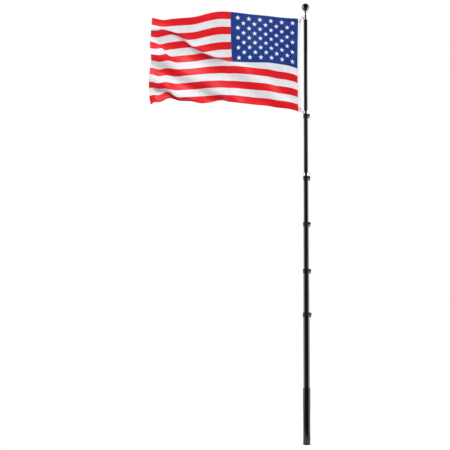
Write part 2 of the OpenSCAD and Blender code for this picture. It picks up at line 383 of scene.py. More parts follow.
def moulded_grain(made, given):
    """Fine pebbled grain of moulded plastic: a height, and a mask for its low spots."""
    cells = made.node("ShaderNodeTexVoronoi", feature="SMOOTH_F1")
    made.fill(cells, {"Vector": given["Vector"], "Scale": made.math("DIVIDE", 1.0, given["Grain"])})
    height = cells.outputs["Distance"]
    return {"Height": height, "Low": made.remap(height, 0.3, 0.7)}


def plain_weave(made, given):
    """Plain weave from cloth coordinates in metres: a height, and a mask of the gaps between threads."""
    place = made.apart(given["Vector"])
    turns = made.math("DIVIDE", math.pi, given["Thread"])
    across = made.math("SINE", made.times(place[0], turns))
    along = made.math("SINE", made.times(place[1], turns))
    ridges = made.plus(made.math("ABSOLUTE", across), made.math("ABSOLUTE", along))
    height = made.plus(made.times(made.times(across, along), 0.35), made.times(ridges, 0.5))
    return {"Height": height, "Gap": made.remap(ridges, 0.25, 0.9, 1.0, 0.0)}


def stitch_rows(made, given):
    """Rows of lock stitches beside seams that repeat at one pitch, from cloth coordinates in metres.
    Rows run along X at each Offset beside a seam. Gives a mask of the thread."""
    place = made.apart(given["Vector"])
    wrapped = made.math("PINGPONG", place[1], made.times(given["Pitch"], 0.5))
    away = made.math("ABSOLUTE", made.math("SUBTRACT", wrapped, given["Offset"]))
    in_row = made.math("LESS_THAN", away, made.times(given["Thread"], 0.5))
    step = made.math("FRACT", made.math("DIVIDE", place[0], given["Stitch"]))
    return {"Mask": made.times(in_row, made.math("LESS_THAN", step, 0.78))}


GROUPS = {
    "Handling Marks": (handling_marks, {"Scale": 1.0, "Stretch": 0.04}),
    "Moulded Grain": (moulded_grain, {"Grain": 0.0006}),
    "Plain Weave": (plain_weave, {"Thread": 0.0006}),
    "Stitch Rows": (stitch_rows, {"Pitch": 0.0703, "Offset": 0.003, "Stitch": 0.0034, "Thread": 0.0007}),
}


# --- Materials ---

FINISHES = {}


def finish(name, look, *values):
    """The named material, made at its first use and kept. The look function, called with the builder
    of its node tree and these values, gives what goes on its Principled shader."""
    if name not in FINISHES:
        material = bpy.data.materials.new(name)
        made = emptied(material)
        surface = made.fill(made.node("ShaderNodeBsdfPrincipled"), look(made, *values))
        made.fill(made.node("ShaderNodeOutputMaterial"), {"Surface": surface.outputs[0]})
        FINISHES[name] = material
    return FINISHES[name]


def scaled(colour, share):
    return tuple(c * share for c in colour)


def coated_tube_look(made):
    """Gloss black coating on drawn aluminium, with smudges and fine scratches along the tube."""
    marks = made.group("Handling Marks", Vector=made.object_place(), Scale=1.0, Stretch=0.03)
    base = pole_settings().tube_black
    smudged = made.remap(marks["Smudge"], 0.0, 1.0, 0.10, 0.17)
    return {
        "Base Color": made.mix(marks["Smudge"], base, scaled(base, 2.0)),
        "Roughness": made.plus(smudged, made.times(marks["Scratch"], 0.05)),
        "Normal": made.bump(marks["Height"], 0.06, 0.00001),
        "IOR": 1.55, "Coat Weight": 0.4, "Coat Roughness": 0.06,
    }


def sleeve_look(made):
    """Satin black pipe, a little scuffed where it goes into the ground."""
    place = made.object_place()
    marks = made.group("Handling Marks", Vector=place, Scale=0.8, Stretch=0.25)
    near_ground = made.remap(made.apart(place)[2], 0.0, 0.16, 1.0, 0.0)
    scuffed = made.times(near_ground, marks["Smudge"])
    earth = (0.030, 0.027, 0.023)
    satin = made.remap(marks["Smudge"], 0.0, 1.0, 0.13, 0.20)
    return {
        "Base Color": made.mix(made.times(scuffed, 0.25), pole_settings().sleeve_black, earth),
        "Roughness": made.plus(satin, made.times(scuffed, 0.3)),
        "Normal": made.bump(marks["Height"], 0.12, 0.00002),
    }


def moulded_plastic_look(made, colour, roughness):
    """Black nylon mouldings with a fine grain."""
    place = made.object_place()
    grain = made.group("Moulded Grain", Vector=place, Grain=0.0009)
    marks = made.group("Handling Marks", Vector=place, Scale=2.0, Stretch=1.0)
    return {
        "Base Color": made.mix(marks["Smudge"], colour, scaled(colour, 2.2)),
        "Roughness": made.remap(grain["Low"], 0.0, 1.0, roughness, roughness + 0.12),
        "Normal": made.bump(grain["Height"], 0.22, 0.00012),
        "Specular IOR Level": 0.3,
    }


def clouding_and_peel(made):
    """Where fingers or dust have clouded a gloss, and the light orange peel under it."""
    place = made.object_place()
    cloud = made.remap(made.noise(place, 26.0, 5.0, 0.65), 0.5, 0.8)
    return cloud, made.bump(made.noise(place, 380.0, 2.0, 0.4), 0.03, 0.0001)


def black_nickel_look(made):
    """Dark polished plating of the ball, a little clouded by fingers."""
    cloud, peel = clouding_and_peel(made)
    return {
        "Base Color": made.mix(cloud, (0.20, 0.20, 0.21), (0.14, 0.14, 0.15)),
        "Metallic": 1.0, "Roughness": made.remap(cloud, 0.0, 1.0, 0.05, 0.14), "Normal": peel,
    }


def gloss_black_look(made):
    """Deep gloss black paint of the stem, a little dusty."""
    dust, peel = clouding_and_peel(made)
    base = pole_settings().tube_black
    return {
        "Base Color": made.mix(dust, base, scaled(base, 2.5)),
        "Roughness": made.remap(dust, 0.0, 1.0, 0.05, 0.16), "Normal": peel,
        "IOR": 1.55, "Coat Weight": 0.5, "Coat Roughness": 0.03,
    }


def metal_look(made, colour, roughness, brushing):
    """Polished or brushed metal, with fine turning lines and a little tarnish."""
    place = made.object_place()
    lines = made.noise(made.stretched(place, (40.0, 40.0, 2600.0)), 1.0, 2.0, 0.6)
    tarnish = made.remap(made.noise(place, 130.0, 4.0, 0.6), 0.45, 0.8)
    return {
        "Base Color": made.mix(tarnish, colour, scaled(colour, 0.72)), "Metallic": 1.0,
        "Roughness": made.remap(tarnish, 0.0, 1.0, roughness, roughness + 0.14),
        "Normal": made.bump(lines, brushing, 0.00003),
    }


def nylon_look(made, colour, thread_colour):
    """Dyed flag nylon: plain weave, slight sheen, two rows of stitches along each seam, and the painted
    light and shade of crumpled cloth as darker and lighter patches of the colour.
    """
    place = made.cloth_place()
    settings = flag_settings()
    weave = made.group("Plain Weave", Vector=place, Thread=0.0011)
    stitches = made.group(
        "Stitch Rows", Vector=place, Pitch=settings.hoist / settings.stripes,
        Offset=settings.seam_width * 0.33, Stitch=0.0036, Thread=0.0009,
    )
    # Painted light and shade of crumples: a broad noise mixes a darker and a lighter copy of the colour
    crumple_shade = made.noise(made.stretched(place, (9.0, 14.0, 1.0)), 1.0, 4.0, 0.55)
    painted_lit_colour = tuple(min(1.0, c * 1.06 + 0.004) for c in colour)
    colour_with_painted_shade = made.mix(made.remap(crumple_shade, 0.3, 0.8), scaled(colour, 0.90), painted_lit_colour)
    woven = made.mix(made.times(weave["Gap"], 0.25), colour_with_painted_shade, scaled(colour, 0.6))
    crepe = made.noise(made.stretched(place, (60.0, 95.0, 1.0)), 1.0, 3.0, 0.5)
    threads = made.bump(weave["Height"], 0.35, 0.00015, under=made.bump(crepe, 0.16, 0.004))
    return {
        "Base Color": made.mix(stitches["Mask"], woven, thread_colour),
        "Roughness": made.remap(weave["Height"], 0.0, 1.2, 0.48, 0.40),
        "Normal": made.bump(stitches["Mask"], 0.5, 0.0003, under=threads),
        "Sheen Weight": 0.02, "Sheen Roughness": 0.4, "Specular IOR Level": 0.26,
    }


def white_thread_look(made):
    """White satin thread that runs across each star, or the weave of a tape."""
    satin = made.noise(made.stretched(made.cloth_place(), (260.0, 2600.0, 1.0)), 1.0, 2.0, 0.5)
    return {
        "Base Color": made.mix(satin, (0.78, 0.80, 0.85), (0.90, 0.91, 0.93)),
        "Roughness": made.remap(satin, 0.2, 0.8, 0.55, 0.40),
        "Normal": made.bump(satin, 0.5, 0.0004), "Sheen Weight": 0.15,
    }


def canvas_look(made):
    """White duck canvas with a coarse weave and lines of stitching near both edges."""
    place = made.cloth_place()
    weave = made.group("Plain Weave", Vector=place, Thread=0.0016)
    turned = made.node("ShaderNodeVectorRotate", rotation_type="Z_AXIS")
    made.fill(turned, {"Vector": place, "Angle": math.pi / 2})
    rows = made.group(
        "Stitch Rows", Vector=turned.outputs[0], Pitch=0.026, Offset=0.0028, Stitch=0.0042, Thread=0.0010
    )
    white, soiled, gap = (0.86, 0.86, 0.86), (0.79, 0.79, 0.78), (0.50, 0.50, 0.49)
    soil = made.remap(made.noise(place, 22.0, 5.0, 0.6), 0.45, 0.8)
    woven = made.mix(made.times(weave["Gap"], 0.3), made.mix(soil, white, soiled), gap)
    return {
        "Base Color": made.mix(rows["Mask"], woven, white), "Roughness": 0.85,
        "Normal": made.bump(weave["Height"], 0.6, 0.0004),
    }


def steel():
    return finish("polished_steel", metal_look, pole_settings().steel, 0.10, 0.05)


# The grommets' brass is darkened nearly to black as painted shade round the hooks' ends
def brass():
    return finish("grommet_brass", metal_look, pole_settings().brass, 0.38, 0.08)


def pin_steel():
    return finish("brushed_pin_steel", metal_look, (0.52, 0.53, 0.55), 0.28, 0.2)


def clamp_plastic():
    return finish("clamp_plastic", moulded_plastic_look, pole_settings().plastic_black, 0.30)


def lever_plastic():
    return finish("lever_plastic", moulded_plastic_look, pole_settings().plastic_black, 0.24)


def coat(node, material):
    """Gives a CAD node its material."""
    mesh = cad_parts[node].data
    mesh.materials.clear()
    mesh.materials.append(material)


# --- Pole ---

TUBES = range(1, 7)
CLAMPS = range(1, 6)
# A pin head's radius as a share of the pin's, the rise of its dome, the depth of its skirt, and how
# deep it is sunk
HEAD_SPREAD = 1.55
HEAD_RISE = 0.0011
HEAD_SKIRT = 0.0006
HEAD_SUNK = 0.0004


class FLAGPOLE_OT_pole(bpy.types.Operator):
    """Coat the sleeve and the six tubes"""

    bl_idname = "flagpole.pole"
    bl_label = "Pole and Sleeve"

    def execute(self, context):
        coating = finish("gloss_black_tube", coated_tube_look)
        for k in TUBES:
            coat(f"tube_{k}", coating)
        pipe = finish("satin_black_sleeve", sleeve_look)
        for node in ("ground_sleeve", "sleeve_end_cap", "sleeve_rim"):
            coat(node, pipe)
        return {"FINISHED"}


def softened(corners, rounds):
    """A closed outline with its corners cut and cut again until they are round."""
    ring = [Vector(c) for c in corners]
    for _ in range(rounds):
        cut = []
        for here, ahead in zip(ring, ring[1:] + ring[:1]):
            cut += [here.lerp(ahead, 0.25), here.lerp(ahead, 0.75)]
        ring = cut
    return ring


def inset_ring(ring, distance):
    """The outline drawn in by that distance, for one that runs clockwise."""
    count = len(ring)
    found = []
    for k in range(count):
        along = (ring[(k + 1) % count] - ring[k - 1]).normalized()
        found.append(ring[k] + Vector((along.y, -along.x)) * distance)
    return found


# A lever's outline in millimetres from its pin, clockwise: hub, short arm outwards, and a grip that
# hangs down, leans in and ends in a small finger lip
LEVER_OUTLINE = [
    (-5.2, -2.0), (-5.6, 2.4), (-3.4, 5.3), (0.5, 5.5), (5.8, 5.1), (8.0, 3.6), (8.1, -4.0),
    (6.6, -14.0), (4.4, -25.0), (2.7, -32.5), (3.0, -36.5), (1.6, -38.8), (-3.0, -38.8),
    (-4.9, -36.5), (-4.6, -24.0), (-4.2, -12.0),
]
LEVER_HOLE = 0.0022
# Room left at both faces of a lever, taken together
LEVER_PLAY = 0.0006


def lever_part(width, bevel):
    """A moulded lever round its pin at the local origin, with rounded long edges and a pin hole."""
    ring = softened([(x * MM, z * MM) for x, z in LEVER_OUTLINE], 3)
    # Rings of points inside the edge carry its rounding
    inner = [p for share in (0.35, 1.0, 1.8) for p in inset_ring(ring, bevel * share)]

    def half_thickness(place):
        edge = min((place - p).length for p in ring)
        share = min(edge / bevel, 1.0)
        return width / 2 - bevel * (1 - math.sqrt(1 - (1 - share) ** 2))

    points, faces, _ = cut_plate(ring, [(0.0, 0.0, LEVER_HOLE)], inner, half_thickness)
    return points, faces


class FLAGPOLE_OT_clamps(bpy.types.Operator):
    """Finish the five clamps and shape their levers and pin heads"""

    bl_idname = "flagpole.clamps"
    bl_label = "Clamps and Levers"

    def execute(self, context):
        for k in CLAMPS:
            coat(f"clamp_collar_{k}", clamp_plastic())
            coat(f"clamp_pin_{k}", pin_steel())
            self.lever(k)
            self.pin_heads(k)
        return {"FINISHED"}

    def lever(self, k):
        low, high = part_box(f"clamp_lever_{k}")
        part = lever_part(high.y - low.y - LEVER_PLAY, pole_settings().lever_bevel)
        part = placed(part, Matrix.Translation(node_centre(f"clamp_pin_{k}")))
        piece = new_piece(f"lever_grip_{k}", *part, [lever_plastic()])
        fix_normals(piece)
        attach(piece, f"lever_{k}")
        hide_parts(f"clamp_lever_{k}")

    def pin_heads(self, k):
        """Domed heads on both ends of the lever's pin."""
        low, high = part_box(f"clamp_pin_{k}")
        pin = node_centre(f"clamp_pin_{k}")
        radius = HEAD_SPREAD * (high.z - low.z) / 2
        turns = [math.radians(a) for a in (0, 15, 30, 45, 60, 75, 88)]
        dome = [(radius * math.cos(a), HEAD_RISE * math.sin(a)) for a in turns]
        heads = []
        for side, end in ((-1, low.y), (1, high.y)):
            part = lathe([(radius, -HEAD_SKIRT)] + dome, steps=24)
            turn = Matrix.Rotation(math.radians(-90 * side), 4, "X")
            at = Matrix.Translation((pin.x, end - side * HEAD_SUNK, pin.z))
            heads.append(placed(part, at @ turn))
        piece = new_piece(f"pin_heads_{k}", *joined(*heads), [pin_steel()])
        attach(piece, f"stage_{k}")


class FLAGPOLE_OT_finial(bpy.types.Operator):
    """Finish the pole cap, stem, band and ball"""

    bl_idname = "flagpole.finial"
    bl_label = "Finial"

    def execute(self, context):
        coat("pole_cap", clamp_plastic())
        coat("finial_stem", finish("gloss_black_stem", gloss_black_look))
        coat("stem_band", steel())
        coat("ball_finial", finish("black_nickel_ball", black_nickel_look))
        return {"FINISHED"}


# --- Swivel rings, hooks and grommets ---

# Radius of a snap hook's bow to the middle of its wire, and the wire's own radius
HOOK_HALF = 0.008
HOOK_WIRE = 0.0023
# The same two for the eye at the hook's top
EYE_RADIUS = 0.0062
EYE_WIRE = 0.0018
# Radius of the bend from the swivel out to the bow
HOOK_SHOULDER = 0.0055
# The swivel's turned barrel: (radius, drop below the eye's foot)
BARREL = [
    (0.0016, -0.0016), (0.0036, -0.0006), (0.0042, 0.0006), (0.0042, 0.0030), (0.0032, 0.0036),
    (0.0032, 0.0046), (0.0040, 0.0052), (0.0040, 0.0078), (0.0030, 0.0090),
]
# Width of a grommet's flange, the height of its lip, and how far below the CAD grommet's face it starts
GROMMET_FLANGE = 0.0040
GROMMET_LIP = 0.0012
GROMMET_SUNK = 0.0011


def hook_part(span):
    """A swivel snap hook of that length between the two things it joins, from its eye at the local
    origin down local -Z, in the local XZ plane."""
    eye = tube_along(arc((0, -EYE_RADIUS), EYE_RADIUS, 90, 450, 32), EYE_WIRE, sides=14)
    eye_foot = -2 * EYE_RADIUS - 0.0006
    barrel = lathe([(radius, eye_foot - drop) for radius, drop in BARREL], steps=28)
    # Where the bar leaves the barrel, where it bends out, and the bow's middle and its tip
    root = eye_foot - 0.0080
    bend = root - 0.0012
    low = -span + HOOK_HALF
    nose = low + 0.0052
    body = [(0.0, 0, root), (0.0028, 0, bend)]
    body += arc((HOOK_HALF - HOOK_SHOULDER, bend - HOOK_SHOULDER), HOOK_SHOULDER, 70, 0, 6)
    body += arc((0, low), HOOK_HALF, 0, -180, 20)
    body += [(-HOOK_HALF, 0, nose - 0.0022), (-HOOK_HALF * 0.95, 0, nose)]
    radii = [HOOK_WIRE * 1.25] * 4 + [HOOK_WIRE] * (len(body) - 5) + [HOOK_WIRE * 0.7]
    bar = tube_along(body, radii, sides=14)
    gate = tube_along(
        [(-0.0022, 0, root - 0.0006), (-0.0052, 0, root - 0.0036), (-0.0070, 0, root - 0.0072),
         (-0.0072, 0, nose + 0.0030), (-0.0064, 0, nose - 0.0012)],
        [0.0014, 0.0016, 0.0015, 0.0014, 0.0011],
    )
    knob_z = (root + nose) / 2
    knob = tube_along(
        [(-0.0068, 0, knob_z), (-0.0092, 0, knob_z - 0.0004), (-0.0100, 0, knob_z - 0.0005)],
        [0.0010, 0.0017, 0.0009],
    )
    return joined(eye, barrel, bar, gate, knob)


def hook_matrix(eye, hole):
    """Local Z points from the hole to the eye, and local X straight through the cloth."""
    up = (eye - hole).normalized()
    through = Vector((0, 1, 0))
    turn = Matrix((through, up.cross(through), up)).transposed().to_4x4()
    return Matrix.Translation(eye) @ turn


def node_centre(node):
    low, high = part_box(node)
    return (low + high) / 2


def round_grommet(centre, flange_r, half):
    """A rolled grommet: a barrel through the cloth and a domed flange on each face."""
    hole_r = flange_r - GROMMET_FLANGE
    profile = []
    for a in range(0, 181, 30):
        turn = math.radians(a)
        out = (hole_r + flange_r) / 2 - GROMMET_FLANGE / 2 * math.cos(turn)
        profile.append((out, half + GROMMET_LIP * math.sin(turn)))
    foot = half - 0.0002
    profile += [(flange_r - GROMMET_LIP, foot), (hole_r + GROMMET_LIP, foot)]
    other = [(r, -z) for r, z in reversed(profile)]
    part = lathe(profile + other, steps=48, closed=True)
    return placed(part, Matrix.Translation(centre) @ Matrix.Rotation(math.radians(90), 4, "X"))


class FLAGPOLE_OT_fittings(bpy.types.Operator):
    """Polish the swivel rings and shape the snap hooks and grommets"""

    bl_idname = "flagpole.fittings"
    bl_label = "Rings, Hooks and Grommets"

    def execute(self, context):
        for node in ("upper_flag_ring", "lower_flag_ring", "spare_flag_ring"):
            coat(node, steel())
        self.hook("upper", "flag_swivel")
        self.hook("lower", "lower_swivel")
        self.grommet("grommet_top", "flag_swivel")
        self.grommet("grommet_bottom", "lower_swivel")
        return {"FINISHED"}

    def hook(self, place, body):
        """The CAD hook's box gives both ends of its wire."""
        low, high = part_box(f"{place}_snap_hook")
        top, bottom = high.z - HOOK_WIRE, low.z + HOOK_WIRE
        eye_z, hole_z = (top, bottom) if place == "upper" else (bottom, top)
        eye = Vector((high.x - HOOK_WIRE, 0, eye_z))
        hole = Vector((low.x + HOOK_WIRE, 0, hole_z))
        part = placed(hook_part((eye - hole).length), hook_matrix(eye, hole))
        piece = new_piece(f"{place}_swivel_snap", *part, [steel()])
        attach(piece, body)
        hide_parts(f"{place}_snap_hook")

    def grommet(self, node, body):
        low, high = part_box(node)
        half = (high.y - low.y) / 2 - GROMMET_SUNK
        part = round_grommet(node_centre(node), (high.x - low.x) / 2, half)
        piece = new_piece(f"{node}_rolled", *part, [brass()])
        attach(piece, body)
        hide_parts(node)


# --- Flag cloth ---

# Along the flag, distances are seen ones, measured level from the heading towards the fly.
# Height of the top edge above the upper corner: (distance, rise)
TOP_EDGE = [
    (0.0, 0.0), (0.15, 0.014), (0.43, 0.042), (0.65, 0.065), (0.76, 0.070), (0.89, 0.053),
    (1.01, 0.027), (1.15, 0.010), (1.24, -0.001), (1.31, -0.009), (1.37, 0.003), (1.43, 0.019),
]
# Where the fly edge hangs: (distance down the edge, distance from the heading)
FLY_EDGE = [
    (0.0, 1.436), (0.14, 1.445), (0.32, 1.456), (0.46, 1.444), (0.60, 1.458), (0.78, 1.468),
    (0.86, 1.462), (0.914, 1.450),
]
# Where the seam at the starred field's end hangs: (distance down the cloth, distance from the heading)
FIELD_EDGE = [(0.0, 0.662), (0.25, 0.660), (0.49, 0.650), (0.70, 0.654), (0.914, 0.660)]
# Folds run down towards the pole. Each is a list of (distance, drop of its line, height it takes up)
LONG_FOLD = [
    (0.20, 0.540, 0.0), (0.43, 0.535, 0.022), (0.55, 0.515, 0.031), (0.66, 0.494, 0.048),
    (0.76, 0.465, 0.053), (0.83, 0.436, 0.057), (0.91, 0.392, 0.062), (1.02, 0.312, 0.068),
    (1.12, 0.226, 0.070), (1.19, 0.180, 0.067), (1.27, 0.135, 0.062), (1.32, 0.112, 0.056),
    (1.36, 0.125, 0.042), (1.43, 0.148, 0.040),
]
SHORT_FOLD = [
    (1.14, 0.495, 0.0), (1.19, 0.472, 0.010), (1.24, 0.440, 0.026), (1.28, 0.392, 0.037),
    (1.32, 0.335, 0.037), (1.36, 0.285, 0.038), (1.43, 0.255, 0.034),
]
FOOT_FOLD = [
    (0.90, 0.950, 0.010), (1.02, 0.902, 0.034), (1.15, 0.872, 0.048), (1.235, 0.824, 0.062),
    (1.30, 0.785, 0.042), (1.39, 0.755, 0.020), (1.45, 0.740, 0.0),
]
# Height taken up by the slack near the pole: (distance, height)
NEAR_SLACK = [
    (0.0, 0.0), (0.05, 0.016), (0.12, 0.034), (0.27, 0.050), (0.43, 0.033), (0.55, 0.021), (0.68, 0.0),
]
# Ripples beside the folds, by their slanting distance from the upper corner by the pole:
# (distance, half waves, share of depth)
RIPPLES = [
    (0.50, -2.0, 0.35), (0.80, -1.0, 0.35), (0.93, 0.0, 0.50), (1.085, 1.0, 0.85), (1.29, 2.0, 1.0),
    (1.395, 3.0, 0.62), (1.51, 4.0, 0.62), (1.61, 5.0, 0.60), (1.75, 6.0, 0.60),
]
# How far the ripples' lines climb for each metre towards the fly
SLANT = 0.613
# Seen length along the fly for each metre of cloth
LAY = 0.9546
# Share by which the loose cloth is drawn out along the hoist, and more of it above the long fold
GIVE = 0.03
GIVE_ABOVE = 0.048
# Width of a fold for the height that it takes up
FOLD_WIDTH = 1.9
# How far the pull of the cloth bows the heading's seam and its free edge towards the fly
SEAM_BOW = 0.007
EDGE_BOW = 0.012
# Width of the turned hem at the fly, and the stripes that the canton stands beside
FLY_HEM = 0.026
CANTON_STRIPES = 7
# Radius of the heading's holes for the grommets
HEADING_HOLE = 0.0068
# Two distances on the cloth that differ by less than this are the same
TOUCH = 1e-6
# A lapped seam is this many times as thick as the cloth
SEAM_THICKNESS = 1.9


def hoist_bow(drop, height):
    """Share of the bow at that drop down the hoist: none at the hooks, most half-way between them."""
    share = np.clip((drop - 0.03) / (height - 0.06), 0.0, 1.0)
    return np.sin(math.pi * share)


def smooth_curve(knots, at, column=1):
    """A smooth curve through a few knots, by cubic Hermite pieces. It stays level past both ends."""
    x = np.array([k[0] for k in knots])
    y = np.array([k[column] for k in knots])
    chord = np.diff(y) / np.diff(x)
    slope = np.concatenate([[chord[0]], (chord[1:] + chord[:-1]) / 2, [chord[-1]]])
    at = np.clip(at, x[0], x[-1])
    i = np.clip(np.searchsorted(x, at) - 1, 0, len(x) - 2)
    width = x[i + 1] - x[i]
    t = (at - x[i]) / width
    h00 = 2 * t**3 - 3 * t**2 + 1
    h10 = t**3 - 2 * t**2 + t
    h01 = -2 * t**3 + 3 * t**2
    h11 = t**3 - t**2
    return h00 * y[i] + h10 * width * slope[i] + h01 * y[i + 1] + h11 * width * slope[i + 1]


def hump(at, centre, width):
    """A smooth hill of height 1."""
    return np.exp(-(((at - centre) / width) ** 2))


def fold_step(knots, along, v, least_width):
    """Share of a fold passed on the way down, and the height that the whole fold takes up."""
    line = smooth_curve(knots, along, 1)
    taken = np.maximum(smooth_curve(knots, along, 2), 0.0)
    width = np.maximum(FOLD_WIDTH * taken, least_width)
    return ramp(v, line - width / 2, line + width / 2), taken, line


def cloth_shape(u, v):
    """Height and depth of the waved cloth, at distances u from the heading and v below its top edge.
    Depth is away from the viewer's side."""
    settings = flag_settings()
    along = u * LAY
    slant = v + SLANT * along

    # The three folds: height taken up, and the step forwards and slow return in depth
    step, taken, line = fold_step(LONG_FOLD, along, v, 0.085)
    drawn_out = GIVE_ABOVE * hump(along, 0.87, 0.20)
    back = ramp(v, line - 0.04, line + 0.36)
    z_long = (taken + drawn_out * line) * step - drawn_out * np.minimum(v, line)
    y_long = 0.52 * taken * (step - back) * (0.40 + 0.60 * ramp(along, 0.62, 1.05))

    step_2, taken_2, line_2 = fold_step(SHORT_FOLD, along, v, 0.10)
    ridge = np.exp(-np.abs(v - line_2) / 0.022) * ramp(v, 0.10, 0.20)
    back_2 = ramp(v, line_2 - 0.25, line_2 + 0.30)
    z_short = taken_2 * step_2
    y_short = -0.30 * taken_2 * ridge + 0.35 * taken_2 * (back_2 - step_2)

    step_3, taken_3, line_3 = fold_step(FOOT_FOLD, along, v, 0.055)
    back_3 = ramp(v, line_3 - 0.22, line_3 + 0.06)
    z_foot = taken_3 * step_3
    y_foot = 0.80 * taken_3 * (step_3 - back_3) * ramp(along, 0.0, 0.25)

    # Slack by the pole and late slack by the fly, a notch in the foot, and a low outer corner and edge
    slack = smooth_curve(NEAR_SLACK, along) * ramp(v, -0.03, 0.47)
    late = 0.012 * ramp(along, 0.80, 1.10) * ramp(v, 0.42, 0.80)
    late = late + 0.018 * ramp(along, 1.32, 1.40) * ramp(v, 0.36, 0.52)
    notch = 0.022 * hump(along, 0.764, 0.085) * ramp(v, 0.84, 0.92)
    tip = 0.014 * ramp(along, 1.385, 1.43) * ramp(v, 0.80, 0.914)
    sag = (0.012 + 0.009 * hump(v, 0.35, 0.08)) * ramp(along, 1.26, 1.43)
    sag = sag * ramp(v, 0.10, 0.26)
    give = 1 + GIVE * ramp(along, 0.0, 0.25)
    z = smooth_curve(TOP_EDGE, along) - v * give + z_long + z_short + z_foot
    z = z + slack + late + notch - tip - sag

    # Ripples beside the folds, broad and slow waves, and small turns at the heading, foot and fly
    half_waves = smooth_curve(RIPPLES, slant)
    share = smooth_curve(RIPPLES, slant, 2) * ramp(slant, 0.45, 0.70) * ramp(along, 0.0, 0.25)
    ripple = -settings.ripple_depth * share * np.cos(math.pi * half_waves)
    broad = np.sin(2 * math.pi * (along + 0.10 * v) / 0.80)
    wave = settings.wave_depth * ramp(along, 0.0, 0.12) * broad
    slow = 0.012 * ramp(along, 0.0, 0.30) * np.sin(2 * math.pi * (along - 0.35 * v) / 0.47 + 1.0)
    pulls = np.sin(2 * math.pi * v / 0.152 + 0.4)
    drawn = 0.005 * hump(along, 0.0, 0.16) * pulls * ramp(along, 0.0, 0.05)
    hem_turn = 0.026 * ramp(v, 0.862, 0.914) * hump(along, 1.13, 0.075)
    notch_turn = 0.010 * ramp(v, 0.83, 0.914) * hump(along, 0.75, 0.12)
    flutter = 0.010 * ramp(along, 1.22, 1.43) * np.sin(2 * math.pi * v / 0.26 + 0.6)
    corner = 0.024 * ramp(along, 1.37, 1.43) * ramp(v, 0.84, 0.914)
    turned_end = 0.14 * np.maximum(along - 1.25, 0.0) * (1 - ramp(v, 0.02, 0.12))
    y = y_long + y_short + y_foot + ripple + wave + slow + drawn
    y = y + hem_turn + notch_turn + flutter + corner + turned_end
    return z, y


def blurred_down(values, rows):
    """A running mean down the columns."""
    kernel = np.hanning(rows * 2 + 3)[1:-1]
    kernel = kernel / kernel.sum()
    pad = np.pad(values, ((rows, rows), (0, 0)), mode="edge")
    return np.stack([np.convolve(pad[:, c], kernel, mode="valid") for c in range(values.shape[1])], 1)


class WavedCloth:
    """The flag's middle surface: places and normals at any distance along the fly and the hoist."""

    def __init__(self, corner, columns=221, rows=161):
        settings = flag_settings()
        self.fly, self.hoist = settings.fly, settings.hoist
        self.u = np.linspace(0, self.fly, columns)
        self.v = np.linspace(0, self.hoist, rows)
        uu, vv = np.meshgrid(self.u, self.v)
        z, y = cloth_shape(uu, vv)
        du = self.u[1]
        slopes = (np.diff(y, axis=1) / du) ** 2 + (np.diff(z, axis=1) / du) ** 2
        # Even the steepest cloth still runs on towards the fly
        run = np.sqrt(np.clip(1 - slopes, 0.10, 1)) * du
        x = np.hstack([np.zeros((rows, 1)), np.cumsum(run, axis=1)])
        x = blurred_down(x, 12)
        seam = int(round(settings.canton_length / du))
        # Each row is drawn out or in, so that the seam and the fly edge hang where they should
        near = x * (smooth_curve(FIELD_EDGE, self.v) / x[:, seam])[:, None]
        beyond = smooth_curve(FLY_EDGE, self.v) - smooth_curve(FIELD_EDGE, self.v)
        draw = beyond / (x[:, -1] - x[:, seam])
        far = near[:, seam:seam + 1] + (x - x[:, seam:seam + 1]) * draw[:, None]
        x = np.where(np.arange(columns) <= seam, near, far)
        fading = 1 - ramp(self.u, 0.0, 0.30)
        x = x + SEAM_BOW * hoist_bow(self.v, self.hoist)[:, None] * fading
        self.points = np.stack([-x, y, z], axis=-1) + np.array(corner)
        across = np.gradient(self.points, self.u, axis=1)
        down = np.gradient(self.points, self.v, axis=0)
        normal = np.cross(across, down)
        self.normals = normal / np.linalg.norm(normal, axis=-1, keepdims=True)

    def sample(self, field, u, v):
        """The field at those distances, read between its four nearest grid points."""
        i = np.clip(u / self.u[1], 0, len(self.u) - 1.0001)
        j = np.clip(v / self.v[1], 0, len(self.v) - 1.0001)
        i0, j0 = i.astype(int), j.astype(int)
        fi, fj = (i - i0)[..., None], (j - j0)[..., None]
        top = field[j0, i0] * (1 - fi) + field[j0, i0 + 1] * fi
        low = field[j0 + 1, i0] * (1 - fi) + field[j0 + 1, i0 + 1] * fi
        return top * (1 - fj) + low * fj

    def place(self, u, v):
        return self.sample(self.points, u, v)

    def normal(self, u, v):
        found = self.sample(self.normals, u, v)
        return found / np.linalg.norm(found, axis=-1, keepdims=True)


CLOTH = []


def waved_cloth():
    """The cloth's surface, worked out once. Its upper corner is at the heading's seam."""
    if not CLOTH:
        low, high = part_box("flag_heading")
        CLOTH.append(WavedCloth((low.x, 0.0, high.z)))
    return CLOTH[0]


def set_cloth_coordinates(mesh, places):
    """Stores each point's place on the flat cloth, in metres, for the cloth materials."""
    layer = mesh.uv_layers.new(name="cloth")
    corners = np.zeros(len(mesh.loops), np.int32)
    mesh.loops.foreach_get("vertex_index", corners)
    layer.data.foreach_set("uv", np.asarray(places, np.float32)[corners].ravel())


def fix_normals(piece):
    """Turns every face outwards."""
    made = bmesh.new()
    made.from_mesh(piece.data)
    bmesh.ops.recalc_face_normals(made, faces=made.faces)
    made.to_mesh(piece.data)
    made.free()


